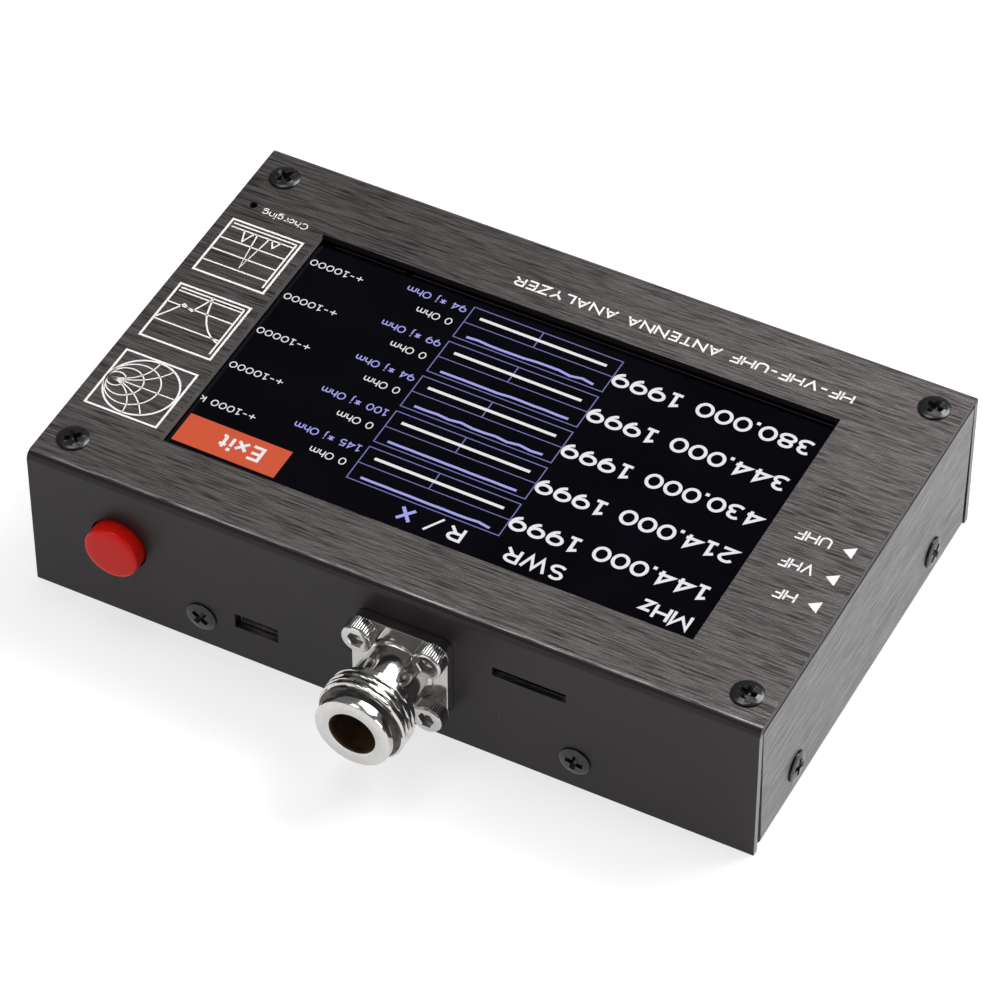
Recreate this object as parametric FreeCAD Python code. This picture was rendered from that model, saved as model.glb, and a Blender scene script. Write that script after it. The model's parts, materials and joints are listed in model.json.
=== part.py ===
import FreeCAD, Part
import math
import os

from FreeCAD import Vector

# All lengths are in millimetres. X runs along the connector wall, -Y points out of that wall,
# and Z is up. The origin is the centre of the face that the case rests on.

# Window in the top face, and the borders of the case round it
window_length = 97.3
window_width = 55.6
side_border = 17.85
front_border = 12.8
back_border = 15.8

# Case
case_height = 29.6
sheet = 1.2
bend_inside = 0.3
cover_gap = 0.3
top_gap = 0.6
side_wall_taper = 1.0
corner_relief = 3.0

# Charge lamp hole, from the left and back edges
lamp_inset_x = 3.7
lamp_inset_y = 14.9
lamp_hole_radius = 0.75

# Case screws
screw_shank_radius = 1.45
tapped_radius = 1.5
clearance_radius = 1.7
thin_head_radius = 2.8
thin_head_rim = 0.35
thin_head_dome = 0.35
cross_length = 3.2
cross_width = 0.75
cross_depth = 1.3
top_screw_inset_x = 5.2
top_screw_inset_y = 6.35
top_screw_length = 4.0
wall_screw_x = 34.5
side_screw_inset = 15.4
wall_screw_z = 6.2
wall_screw_length = 5.0

# Screw tabs of the bottom cover
tab_width = 8.0
tab_height = 10.5
tab_relief = 1.0
boss_radius = 2.6
boss_length = 1.5

# Battery tray
tray_sheet = 1.0
tray_gap = 0.3
tray_screw_gap = 2.1
tray_tab_width = 14.0
tray_tab_height = 10.0

# Main board
board_thickness = 1.6
board_clearance = 1.2
board_screw_length = 4.0
board_hole_radius = 1.6
pan_head_radius = 2.75
pan_head_height = 2.0
standoff_flats = 5.5

# Display
glass_side_border = 4.1
glass_front_border = 5.8
glass_thickness = 1.1
panel_thickness = 2.9
tape_thickness = 0.3
tape_margin = 0.5
pad_thickness = 1.5
pad_strip_width = 4.0
pad_strip_end_inset = 12.75
pad_strip_side_inset = 10.1
ribbon_width = 24.0
ribbon_thickness = 0.2
ribbon_reach = 1.9
ribbon_drop = 0.5
ribbon_flat = 0.6
ribbon_in_panel = 0.9
ribbon_in_socket = 1.5
ribbon_socket_length = 26.0
ribbon_socket_depth = 4.5
ribbon_socket_height = 1.4

# Antenna connector
connector_x = 3.65
connector_z = 14.6
flange_side = 17.5
flange_thickness = 2.0
flange_corner = 2.0
flange_screw_pitch = 12.7
connector_reach = 18.0
nose_radius = 6.85
nose_length = 1.2
nose_chamfer = 0.3
groove_radius = 6.45
groove_end = 2.6
groove_slope = 0.2
thread_radius = 7.94
thread_depth = 0.55
thread_pitch = 25.4 / 24.0
thread_start = 2.75
thread_turns = 4
thread_flat = 0.25
thread_runout = 0.1
shoulder_radius = 7.1
shoulder_end = 8.8
shoulder_chamfer = 0.6
neck_radius = 5.6
neck_foot_radius = 6.2
neck_foot_length = 0.6
socket_bore_radius = 4.06
socket_bore_depth = 9.0
socket_mouth_radius = 4.25
socket_mouth_depth = 0.4
body_tail_radius = 5.4
body_tail_length = 3.6
tail_hole_clearance = 0.1
insulator_radius = 3.6
insulator_tail = 1.6
contact_radius = 1.52
contact_bore_radius = 0.85
contact_bore_depth = 4.0
contact_recess = 5.3
contact_tail_radius = 0.9
contact_tail_length = 3.0
flange_bolt_length = 8.0
bolt_head_radius = 2.75
bolt_head_height = 3.0
bolt_head_chamfer = 0.3
bolt_socket_flats = 2.5
bolt_socket_depth = 1.5
nut_flats = 5.5
nut_height = 2.4
signal_lead_radius = 0.45
signal_lead_run = 2.0

# Push button and its switch
button_inset_x = 16.7
button_below_board = 5.0
button_radius = 5.0
button_proud = 3.0
button_length = 7.5
button_edge = 0.5
button_hole_clearance = 0.3
button_travel = 2.2
plunger_side = 3.0
plunger_in_cap = 4.0
plunger_in_switch = 6.0
plunger_clearance = 0.08
plunger_end_gap = 0.3
switch_gap = 4.6
switch_width = 8.4
switch_depth = 10.0
switch_below_plunger = 4.3
spring_wire_radius = 0.2
spring_mean_radius = 2.6
spring_turns = 5
pin_radius = 0.35
pin_hole_radius = 0.45
pin_length = 2.6
pin_pitch_x = 2.5
pin_pitch_y = 3.0
notch_margin = 1.3

# Charging socket and its board
usb_x = -24.1
usb_z = 8.35
usb_slot_length = 8.1
usb_slot_height = 3.1
usb_shell_length = 7.6
usb_shell_height = 2.8
usb_shell_depth = 5.5
usb_shell_wall = 0.3
usb_tongue_length = 4.0
usb_tongue_height = 0.7
usb_tongue_rise = 0.2
usb_tongue_recess = 1.0
usb_back_wall = 1.0
usb_wall_gap = 0.2
charger_width = 12.0
charger_length = 26.0
charger_thickness = 1.2
charger_front_gap = 0.8
spacer_radius = 1.6
spacer_bore_radius = 1.0
spacer_pitch_x = 8.0
spacer_front_reach = 9.6
spacer_rear_reach = 22.1
small_head_radius = 1.7
small_head_height = 1.2
small_screw_length = 4.0

# Memory card slot and socket
card_x = 26.1
card_slot_length = 13.2
card_slot_height = 1.95
card_slot_below_board = 1.0
card_socket_width = 14.0
card_socket_depth = 15.0
card_socket_height = 1.9
card_mouth_length = 11.2
card_mouth_height = 1.0
card_mouth_depth = 12.0
card_wall_gap = 0.3

# Battery
cell_wall_space = 8.5
cell_lead_space = 6.1
cell_width = 50.0
cell_thickness = 8.0
cell_edge = 2.0
cell_y = 1.0
cell_pad_thickness = 0.5
cell_pad_inset = 5.0
cell_pad_width = 10.0
cell_pad_offset = 16.0
plug_length = 5.5
plug_width = 5.0
plug_height = 4.5
plug_edge = 0.5
plug_reach = 17.8
lead_radius = 0.6
lead_pitch = 2.0
lead_end_run = 2.2
lead_drop = 1.8
supply_reach = 11.1
supply_pitch = 2.4
supply_bow = 2.5

# Parts soldered to the main board
shield_length = 30.0
shield_width = 26.0
shield_height = 4.0
shield_wall = 0.3
shield_lead_gap = 2.4
processor_side = 14.0
processor_x = -32.0
processor_y = 4.0
chip_length = 8.0
chip_width = 6.0
chip_height = 1.4
chip_count = 4
chip_row_x = -32.0
chip_row_y = 20.0
chip_pitch = 20.0
coil_length = 4.5
coil_width = 3.8
coil_pitch = 5.2
lamp_body_radius = 1.2
lamp_body_height = 1.0
lamp_dome_radius = 1.0
lamp_cover_gap = 0.2

# How far a cutter runs past what it cuts
over = 1.0

# Values worked out from the ones above
bend_outside = bend_inside + sheet
case_length = window_length + 2 * side_border
case_width = window_width + front_border + back_border
half_length = case_length / 2
half_width = case_width / 2
window_y0 = front_border - half_width
window_y1 = half_width - back_border
window_middle_y = (window_y0 + window_y1) / 2
wall_inside_y = half_width - sheet
wall_inside_x = half_length - sheet
top_underside_z = case_height - sheet
side_wall_top_z = top_underside_z - top_gap
plate_half_width = wall_inside_y - cover_gap
lamp_x = lamp_inset_x - half_length
lamp_y = half_width - lamp_inset_y
top_screw_x = half_length - top_screw_inset_x
top_screw_y = half_width - top_screw_inset_y
side_screw_y = half_width - side_screw_inset
tray_top_z = sheet + tray_sheet
tray_half_width = half_width - wall_screw_length - tray_screw_gap
glass_length = window_length + 2 * glass_side_border
glass_width = window_width + 2 * glass_front_border
glass_top_z = top_underside_z - tape_thickness
panel_top_z = glass_top_z - glass_thickness
panel_underside_z = panel_top_z - panel_thickness
pad_strip_length = glass_length - 2 * pad_strip_end_inset
pad_strip_offset = glass_width / 2 - pad_strip_side_inset
board_top_z = panel_underside_z - pad_thickness
board_underside_z = board_top_z - board_thickness
flange_face_y = -half_width - flange_thickness
nose_face_y = -half_width - connector_reach
contact_end = connector_reach + body_tail_length + insulator_tail + contact_tail_length
signal_lead_y = nose_face_y + contact_end + signal_lead_run
shield_front_y = signal_lead_y + shield_lead_gap
button_x = button_inset_x - half_length
button_z = board_underside_z - button_below_board
button_face_y = -half_width - button_proud
button_rear_y = button_face_y + button_length
switch_face_y = button_rear_y + switch_gap
charger_top_z = usb_z - usb_shell_height / 2
charger_underside_z = charger_top_z - charger_thickness
charger_front_y = -wall_inside_y + charger_front_gap
charger_edge_x = usb_x + charger_width / 2
spacer_front_y = charger_front_y + spacer_front_reach
spacer_rear_y = charger_front_y + spacer_rear_reach
plug_y = charger_front_y + plug_reach
supply_y = charger_front_y + supply_reach
card_slot_z = board_underside_z - card_slot_below_board
cell_underside_z = tray_top_z + cell_pad_thickness
cell_top_z = cell_underside_z + cell_thickness
cell_start_x = charger_edge_x + cell_lead_space
cell_end_x = half_length - cell_wall_space
cell_length = cell_end_x - cell_start_x

up = Vector(0, 0, 1)
down = Vector(0, 0, -1)
outwards = Vector(0, -1, 0)


def box(x0, x1, y0, y1, z0, z1):
    """A box between two corners."""
    return Part.makeBox(x1 - x0, y1 - y0, z1 - z0, Vector(x0, y0, z0))


def cylinder(radius, start, direction, length):
    """A round bar of the given radius from start along direction."""
    return Part.makeCylinder(radius, length, start, direction)


def placed(shape, start, direction):
    """A copy of shape whose own Z axis and origin are moved to direction and start."""
    copy = shape.copy()
    turn = FreeCAD.Rotation(up, direction)
    copy.Placement = FreeCAD.Placement(start, turn).multiply(copy.Placement)
    return copy


def joined(shapes):
    """One solid from several that touch or overlap."""
    return shapes[0].multiFuse(shapes[1:]).removeSplitter()


def turned(outline):
    """A turned solid about Z from (radius, height) points."""
    points = [Vector(radius, 0, height) for radius, height in outline]
    face = Part.Face(Part.makePolygon(points + points[:1]))
    return face.revolve(Vector(0, 0, 0), up, 360)


def hexagon(flats, length):
    """A hexagonal bar about Z, from height 0 up."""
    corner_radius = flats / math.sqrt(3)
    angles = [math.radians(60 * step) for step in range(6)]
    points = [Vector(corner_radius * math.cos(a), corner_radius * math.sin(a), 0) for a in angles]
    return Part.Face(Part.makePolygon(points + points[:1])).extrude(up * length)


def extruded(points, travel):
    """A prism from a closed outline of points."""
    return Part.Face(Part.makePolygon(points + points[:1])).extrude(travel)


def rounded_plate(length, width, thickness, corner):
    """A plate about Z with rounded corners, from height 0 up."""
    plate = box(-length / 2, length / 2, -width / 2, width / 2, 0, thickness)
    upright = [e for e in plate.Edges if abs(e.Vertexes[0].Z - e.Vertexes[-1].Z) > thickness / 2]
    return plate.makeFillet(corner, upright)


def channel_face(half, height, place):
    """A bent U section whose closed side is at the full height. place maps (u, v) to a point."""
    bend = half - bend_outside
    low = height - bend_outside
    inner = half - sheet
    dip_out = bend_outside * (1 - math.sqrt(0.5))
    dip_in = sheet + bend_inside * (1 - math.sqrt(0.5))
    stops = [(-half, 0), (-half, low), (-bend, height), (bend, height), (half, low), (half, 0)]
    stops += [(inner, 0), (inner, low), (bend, height - sheet), (-bend, height - sheet)]
    stops += [(-inner, low), (-inner, 0)]
    middles = {
        1: (dip_out - half, height - dip_out),
        3: (half - dip_out, height - dip_out),
        7: (half - dip_in, height - dip_in),
        9: (dip_in - half, height - dip_in),
    }
    edges = []
    for index, stop in enumerate(stops):
        start = place(*stop)
        end = place(*stops[(index + 1) % len(stops)])
        if index in middles:
            edges.append(Part.Arc(start, place(*middles[index]), end).toShape())
        else:
            edges.append(Part.LineSegment(start, end).toShape())
    return Part.Face(Part.Wire(edges))


def tube(points, radius):
    """A round lead along straight runs joined by tangent arcs."""
    edges = []
    at = points[0]
    for before, corner, after in zip(points, points[1:], points[2:]):
        run_in = corner - before
        run_out = after - corner
        shorter = min(run_in.Length, run_out.Length)
        into = Vector(run_in).normalize()
        out = Vector(run_out).normalize()
        turn = into.getAngle(out)
        reach = 0.45 * shorter
        bend_radius = reach / math.tan(turn / 2)
        start = corner - into * reach
        end = corner + out * reach
        inward = Vector(out - into).normalize()
        centre = corner + inward * (bend_radius / math.cos(turn / 2))
        middle = centre - inward * bend_radius
        edges.append(Part.LineSegment(at, start).toShape())
        edges.append(Part.Arc(start, middle, end).toShape())
        at = end
    edges.append(Part.LineSegment(at, points[-1]).toShape())
    path = Part.Wire(edges)
    ring = Part.Wire(Part.makeCircle(radius, points[0], points[1] - points[0]))
    return path.makePipeShell([ring], True, False)


def cross_recess():
    """The cutter for a cross recess, its mouth at height 0."""
    reach = cross_length / 2
    half = cross_width / 2
    arm = box(-reach, reach, -half, half, -cross_depth, over)
    arms = joined([arm, arm.rotated(Vector(0, 0, 0), up, 90)])
    cone = Part.makeCone(cross_width / 3, reach + 0.2, cross_depth + 0.2, Vector(0, 0, -cross_depth))
    return arms.common(cone)


def thin_head_screw(length):
    """A thin-head screw: head above height 0, shank below."""
    head = turned([
        (0, 0),
        (thin_head_radius, 0),
        (thin_head_radius, thin_head_rim),
        (thin_head_radius * 0.8, thin_head_rim + thin_head_dome * 0.7),
        (0, thin_head_rim + thin_head_dome),
    ])
    shank = cylinder(screw_shank_radius, Vector(0, 0, 0), down, length)
    recess = cross_recess()
    recess.translate(up * (thin_head_rim + thin_head_dome))
    return joined([head, shank]).cut(recess)


def pan_screw(head_radius, head_height, shank_radius, length):
    """A pan-head screw: head above height 0, shank below."""
    head = cylinder(head_radius, Vector(0, 0, 0), up, head_height)
    head = head.makeFillet(head_height * 0.4, [head.Edges[0]])
    shank = cylinder(shank_radius, Vector(0, 0, 0), down, length)
    reach = head_radius * 0.55
    half = head_radius * 0.14
    slot = box(-reach, reach, -half, half, head_height * 0.4, head_height)
    cross = joined([slot, slot.rotated(Vector(0, 0, 0), up, 90)])
    return joined([head, shank]).cut(cross)


def socket_screw(length):
    """A socket-head screw: head above height 0, shank below."""
    head = turned([
        (0, 0),
        (bolt_head_radius, 0),
        (bolt_head_radius, bolt_head_height - bolt_head_chamfer),
        (bolt_head_radius - bolt_head_chamfer, bolt_head_height),
        (0, bolt_head_height),
    ])
    key = hexagon(bolt_socket_flats, bolt_socket_depth)
    key.translate(up * (bolt_head_height - bolt_socket_depth))
    shank = cylinder(screw_shank_radius, Vector(0, 0, 0), down, length)
    return joined([head, shank]).cut(key)


def four_ways(x, y):
    """The four (x, y) places that mirror each other about the centre."""
    return [(sx * x, sy * y) for sx in (-1, 1) for sy in (-1, 1)]


def flange_holes():
    """The four (x, z) places of the connector's flange screws."""
    half = flange_screw_pitch / 2
    return [(connector_x + dx, connector_z + dz) for dx, dz in four_ways(half, half)]


def top_cover():
    """Top face with the front and back walls, bent from one sheet."""
    section = channel_face(half_width, case_height, lambda u, v: Vector(-half_length, u, v))
    cover = section.extrude(Vector(case_length, 0, 0))
    half = window_length / 2
    below = top_underside_z - over
    through = sheet + 2 * over
    cuts = [box(-half, half, window_y0, window_y1, below, case_height + over)]
    for x, y in four_ways(top_screw_x, top_screw_y):
        cuts.append(cylinder(clearance_radius, Vector(x, y, below), up, through))
    cuts.append(cylinder(lamp_hole_radius, Vector(lamp_x, lamp_y, below), up, through))
    for x, y in four_ways(wall_screw_x, wall_inside_y - over):
        cuts.append(cylinder(clearance_radius, Vector(x, y, wall_screw_z), Vector(0, y, 0), through))
    inside = -wall_inside_y + over
    hole_radius = button_radius + button_hole_clearance
    cuts.append(cylinder(hole_radius, Vector(button_x, inside, button_z), outwards, through))
    tail_hole_radius = body_tail_radius + tail_hole_clearance
    cuts.append(cylinder(tail_hole_radius, Vector(connector_x, inside, connector_z), outwards, through))
    for x, z in flange_holes():
        cuts.append(cylinder(clearance_radius, Vector(x, inside, z), outwards, through))
    cuts.append(wall_slot(usb_x, usb_slot_length, usb_z, usb_slot_height))
    cuts.append(wall_slot(card_x, card_slot_length, card_slot_z, card_slot_height))
    return cover.cut(cuts)


def wall_slot(x, length, z, height):
    """The cutter for a slot through the front wall."""
    y0 = -half_width - over
    y1 = -wall_inside_y + over
    return box(x - length / 2, x + length / 2, y0, y1, z - height / 2, z + height / 2)


def bottom_cover():
    """Bottom face with the left and right walls and four screw tabs, bent from one sheet."""
    edge = plate_half_width
    section = channel_face(half_length, side_wall_top_z, lambda u, v: Vector(u, -edge, side_wall_top_z - v))
    cover = section.extrude(Vector(0, 2 * edge, 0))
    cuts = []
    for side in (-1, 1):
        for end in (-1, 1):
            cuts.append(wall_end_cutter(side, end))
            cuts.append(corner_cutter(side, end))
        for y in (-side_screw_y, side_screw_y):
            start = Vector(side * (wall_inside_x - over), y, wall_screw_z)
            cuts.append(cylinder(clearance_radius, start, Vector(side, 0, 0), sheet + 2 * over))
    for x in (-wall_screw_x, wall_screw_x):
        for end in (-1, 1):
            cuts += tab_slots(x, end)
    cover = cover.cut(cuts)
    tabs = [screw_tab(x, end) for x in (-wall_screw_x, wall_screw_x) for end in (-1, 1)]
    cover = joined([cover] + tabs)
    bores = []
    for x in (-wall_screw_x, wall_screw_x):
        for end in (-1, 1):
            start = Vector(x, end * (edge + over), wall_screw_z)
            bores.append(cylinder(tapped_radius, start, Vector(0, -end, 0), sheet + boss_length + 2 * over))
    cover = cover.cut(bores)
    return cover.makeFillet(bend_outside, tab_edges(cover))


def wall_end_cutter(side, end):
    """The wedge that makes a side wall shorter towards the bottom."""
    x0 = side * (wall_inside_x - 0.01)
    travel = Vector(side * (sheet + over), 0, 0)
    edge = plate_half_width
    top = side_wall_top_z
    foot = edge - side_wall_taper
    outline = [(edge + over, top + over), (edge, top), (foot, 0), (foot, -over), (edge + over, -over)]
    return extruded([Vector(x0, end * y, z) for y, z in outline], travel)


def corner_cutter(side, end):
    """The relief beside the bend in a corner of the bottom plate."""
    x0, x1 = sorted((side * (wall_inside_x - corner_relief), side * wall_inside_x))
    y0, y1 = sorted((end * (plate_half_width - corner_relief), end * (plate_half_width + over)))
    return box(x0, x1, y0, y1, -over, sheet + over)


def tab_slots(x, end):
    """The two relief slots beside a screw tab."""
    inner = plate_half_width - bend_outside - over
    y0, y1 = sorted((end * inner, end * (plate_half_width + over)))
    slots = []
    for side in (-1, 1):
        near = x + side * tab_width / 2
        x0, x1 = sorted((near, near + side * tab_relief))
        slots.append(box(x0, x1, y0, y1, -over, sheet + over))
    return slots


def screw_tab(x, end):
    """An upturned tab with a thread boss."""
    y0, y1 = sorted((end * plate_half_width, end * (plate_half_width - sheet)))
    wall = box(x - tab_width / 2, x + tab_width / 2, y0, y1, 0, tab_height)
    start = Vector(x, end * (plate_half_width - sheet), wall_screw_z)
    boss = cylinder(boss_radius, start, Vector(0, -end, 0), boss_length)
    return joined([wall, boss])


def tab_edges(cover):
    """The lower outer edge of each screw tab, where it is bent."""
    found = []
    for edge in cover.Edges:
        middle = edge.CenterOfMass
        along_x = abs(edge.BoundBox.XLength - tab_width) < 0.01
        if along_x and abs(middle.z) < 0.01 and abs(abs(middle.y) - plate_half_width) < 0.01:
            found.append(edge)
    return found


def battery_tray():
    """A tray between the side walls that carries the battery and the charger board."""
    end_x = wall_inside_x - tray_gap
    shapes = [box(-end_x, end_x, -tray_half_width, tray_half_width, sheet, tray_top_z)]
    for side in (-1, 1):
        for y in (-side_screw_y, side_screw_y):
            x0, x1 = sorted((side * end_x, side * (end_x - tray_sheet)))
            y0 = y - tray_tab_width / 2
            shapes.append(box(x0, x1, y0, y0 + tray_tab_width, sheet, tray_tab_height))
            start = Vector(side * (end_x - tray_sheet), y, wall_screw_z)
            shapes.append(cylinder(boss_radius, start, Vector(-side, 0, 0), boss_length))
    tray = joined(shapes)
    bores = []
    bore_length = tray_sheet + boss_length + 2 * over
    for side in (-1, 1):
        for y in (-side_screw_y, side_screw_y):
            start = Vector(side * (end_x + over), y, wall_screw_z)
            bores.append(cylinder(tapped_radius, start, Vector(-side, 0, 0), bore_length))
    for x, y in charger_posts():
        bores.append(cylinder(spacer_bore_radius, Vector(x, y, 0), up, tray_top_z + over))
    return tray.cut(bores)


def charger_posts():
    """The (x, y) places of the charger board's spacers."""
    xs = (usb_x - spacer_pitch_x / 2, usb_x + spacer_pitch_x / 2)
    return [(x, y) for x in xs for y in (spacer_front_y, spacer_rear_y)]


def top_screws():
    """The four screws in the top face."""
    screw = thin_head_screw(top_screw_length)
    return [placed(screw, Vector(x, y, case_height), up) for x, y in four_ways(top_screw_x, top_screw_y)]


def cover_screws():
    """The screws in the front, back and side walls."""
    screw = thin_head_screw(wall_screw_length)
    screws = []
    for end in (-1, 1):
        for x in (-wall_screw_x, wall_screw_x):
            screws.append(placed(screw, Vector(x, end * half_width, wall_screw_z), Vector(0, end, 0)))
        for y in (-side_screw_y, side_screw_y):
            screws.append(placed(screw, Vector(end * half_length, y, wall_screw_z), Vector(end, 0, 0)))
    return screws


def board_standoffs():
    """Hexagonal standoffs between the main board and the top face."""
    height = top_underside_z - board_top_z
    post = hexagon(standoff_flats, height).cut(cylinder(tapped_radius, Vector(0, 0, 0), up, height))
    return [placed(post, Vector(x, y, board_top_z), up) for x, y in four_ways(top_screw_x, top_screw_y)]


def board_screws():
    """Pan-head screws that hold the main board to its standoffs."""
    screw = pan_screw(pan_head_radius, pan_head_height, screw_shank_radius, board_screw_length)
    corners = four_ways(top_screw_x, top_screw_y)
    return [placed(screw, Vector(x, y, board_underside_z), down) for x, y in corners]


def switch_pin_places():
    """The (x, y) places of the switch's pins."""
    middle_y = switch_face_y + switch_depth / 2
    return [(button_x + i * pin_pitch_x, middle_y + j * pin_pitch_y) for i in (-1, 1) for j in (-1, 0, 1)]


def main_board():
    """The main circuit board, notched round the connector and the button."""
    half_x = wall_inside_x - board_clearance
    half_y = wall_inside_y - board_clearance
    board = box(-half_x, half_x, -half_y, half_y, board_underside_z, board_top_z)
    low = board_underside_z - over
    high = board_top_z + over
    through = board_thickness + 2 * over
    bolt_end_y = flange_face_y + flange_bolt_length + notch_margin
    half_notch = flange_screw_pitch / 2 + nut_flats / math.sqrt(3) + notch_margin
    cuts = [box(connector_x - half_notch, connector_x + half_notch, -half_width, bolt_end_y, low, high)]
    cap_end_y = button_rear_y + button_travel + notch_margin
    half_notch = button_radius + notch_margin
    cuts.append(box(button_x - half_notch, button_x + half_notch, -half_width, cap_end_y, low, high))
    for x, y in four_ways(top_screw_x, top_screw_y):
        cuts.append(cylinder(board_hole_radius, Vector(x, y, low), up, through))
    for x, y in switch_pin_places():
        cuts.append(cylinder(pin_hole_radius, Vector(x, y, low), up, through))
    return board.cut(cuts)


def chip(x, y, length, width, z):
    """A chip hanging under a board whose underside is at height z."""
    return box(x - length / 2, x + length / 2, y - width / 2, y + width / 2, z - chip_height, z)


def main_chips():
    """The larger chips under the main board."""
    chips = [chip(processor_x, processor_y, processor_side, processor_side, board_underside_z)]
    for place in range(chip_count):
        x = chip_row_x + place * chip_pitch
        chips.append(chip(x, chip_row_y, chip_length, chip_width, board_underside_z))
    return chips


def shield_can():
    """The metal can over the measuring bridge, under the main board."""
    x0 = connector_x - shield_length / 2
    x1 = connector_x + shield_length / 2
    y0 = shield_front_y
    y1 = y0 + shield_width
    z0 = board_underside_z - shield_height
    wall = shield_wall
    outer = box(x0, x1, y0, y1, z0, board_underside_z)
    return outer.cut(box(x0 + wall, x1 - wall, y0 + wall, y1 - wall, z0 + wall, board_underside_z + over))


def card_socket():
    """The memory card socket under the front edge of the main board."""
    y0 = -wall_inside_y + card_wall_gap
    top = board_underside_z
    half = card_socket_width / 2
    body = box(card_x - half, card_x + half, y0, y0 + card_socket_depth, top - card_socket_height, top)
    mouth_z = top - card_socket_height / 2
    half = card_mouth_length / 2
    rise = card_mouth_height / 2
    mouth_end_y = y0 + card_mouth_depth
    mouth = box(card_x - half, card_x + half, y0 - over, mouth_end_y, mouth_z - rise, mouth_z + rise)
    return body.cut(mouth)


def charge_led():
    """The charge lamp, standing on the main board under its hole."""
    dome_top_z = top_underside_z - lamp_cover_gap
    dome_start_z = dome_top_z - lamp_dome_radius
    collar = cylinder(lamp_body_radius, Vector(lamp_x, lamp_y, board_top_z), up, lamp_body_height)
    stem = cylinder(lamp_dome_radius, Vector(lamp_x, lamp_y, board_top_z), up, dome_start_z - board_top_z)
    dome = Part.makeSphere(lamp_dome_radius, Vector(lamp_x, lamp_y, dome_start_z))
    return joined([collar, stem, dome])


def display_plate(length, width, z0, z1):
    """A plate of the display stack, centred on the window."""
    y0 = window_middle_y - width / 2
    return box(-length / 2, length / 2, y0, y0 + width, z0, z1)


def display_tape():
    """The adhesive frame between the touch panel and the top face."""
    frame = display_plate(glass_length, glass_width, glass_top_z, top_underside_z)
    length = window_length + 2 * tape_margin
    width = window_width + 2 * tape_margin
    return frame.cut(display_plate(length, width, glass_top_z - over, top_underside_z + over))


def display_pads():
    """Two foam strips between the display and the main board."""
    pads = []
    for side in (-1, 1):
        y0 = window_middle_y + side * pad_strip_offset - pad_strip_width / 2
        half = pad_strip_length / 2
        pads.append(box(-half, half, y0, y0 + pad_strip_width, board_top_z, panel_underside_z))
    return pads


def ribbon_outline():
    """The (y, z) points along the display ribbon's lower side."""
    start_y = window_middle_y + glass_width / 2
    socket_y = start_y + ribbon_reach
    high = panel_underside_z + ribbon_in_panel
    low = board_top_z + ribbon_drop
    slope = [(start_y + ribbon_flat, high), (socket_y - ribbon_flat, low)]
    return [(start_y, high)] + slope + [(socket_y + ribbon_in_socket, low)]


def display_ribbon():
    """The flat cable from the display to its socket."""
    lower = ribbon_outline()
    upper = [(y, z + ribbon_thickness) for y, z in reversed(lower)]
    x0 = -ribbon_width / 2
    return extruded([Vector(x0, y, z) for y, z in lower + upper], Vector(ribbon_width, 0, 0))


def ribbon_socket():
    """The socket on the main board that takes the display ribbon."""
    y0 = ribbon_outline()[-1][0] - ribbon_in_socket
    half = ribbon_socket_length / 2
    body = box(-half, half, y0, y0 + ribbon_socket_depth, board_top_z, board_top_z + ribbon_socket_height)
    low = board_top_z + ribbon_drop
    half = ribbon_width / 2
    return body.cut(box(-half, half, y0 - over, y0 + ribbon_in_socket, low, low + ribbon_thickness))


def connector_outline():
    """The (radius, height) points of the connector's turned front, height 0 at the nose face."""
    points = [(nose_radius - nose_chamfer, 0), (nose_radius, -nose_chamfer), (nose_radius, -nose_length)]
    points += [(groove_radius, -nose_length - groove_slope), (groove_radius, -groove_end)]
    root = thread_radius - thread_depth
    slope = (thread_pitch - 2 * thread_flat) / 2
    at = thread_start
    points.append((root, -at + thread_runout / 2))
    for _ in range(thread_turns):
        points += [(root, -at), (thread_radius, -at - slope), (thread_radius, -at - slope - thread_flat)]
        points.append((root, -at - 2 * slope - thread_flat))
        at += thread_pitch
    points += [(root, -at), (shoulder_radius, -at - thread_runout)]
    points.append((shoulder_radius, -shoulder_end + shoulder_chamfer))
    points += [(shoulder_radius - shoulder_chamfer, -shoulder_end), (neck_radius, -shoulder_end)]
    foot = connector_reach - flange_thickness - neck_foot_length
    points += [(neck_radius, -foot), (neck_foot_radius, -foot - neck_foot_length)]
    return points


def connector_body():
    """The flanged metal body of the antenna connector."""
    front = connector_outline()
    back = -connector_reach + flange_thickness / 2
    tail_end = -connector_reach - body_tail_length
    mouth = socket_mouth_radius
    shape = turned([(0, 0)] + front + [(neck_foot_radius, back), (0, back)])
    flange = rounded_plate(flange_side, flange_side, flange_thickness, flange_corner)
    flange.translate(down * connector_reach)
    tail = cylinder(body_tail_radius, Vector(0, 0, -connector_reach), down, body_tail_length)
    shape = joined([shape, flange, tail])
    bore = turned([
        (0, over),
        (mouth, over),
        (mouth, 0),
        (socket_bore_radius, -socket_mouth_depth),
        (socket_bore_radius, -socket_bore_depth),
        (insulator_radius, -socket_bore_depth),
        (insulator_radius, tail_end - over),
        (0, tail_end - over),
    ])
    half = flange_screw_pitch / 2
    low = -connector_reach - over
    through = flange_thickness + 2 * over
    holes = [cylinder(clearance_radius, Vector(x, y, low), up, through) for x, y in four_ways(half, half)]
    shape = shape.cut([bore] + holes)
    return placed(shape, Vector(connector_x, nose_face_y, connector_z), outwards)


def connector_insulator():
    """The plastic bush that holds the centre contact."""
    length = connector_reach + body_tail_length + insulator_tail - socket_bore_depth
    bush = cylinder(insulator_radius, Vector(0, 0, -socket_bore_depth), down, length)
    bush = bush.cut(cylinder(contact_radius, Vector(0, 0, 0), down, connector_reach))
    bush = bush.cut(cylinder(contact_tail_radius, Vector(0, 0, 0), down, connector_reach * 2))
    return placed(bush, Vector(connector_x, nose_face_y, connector_z), outwards)


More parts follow.
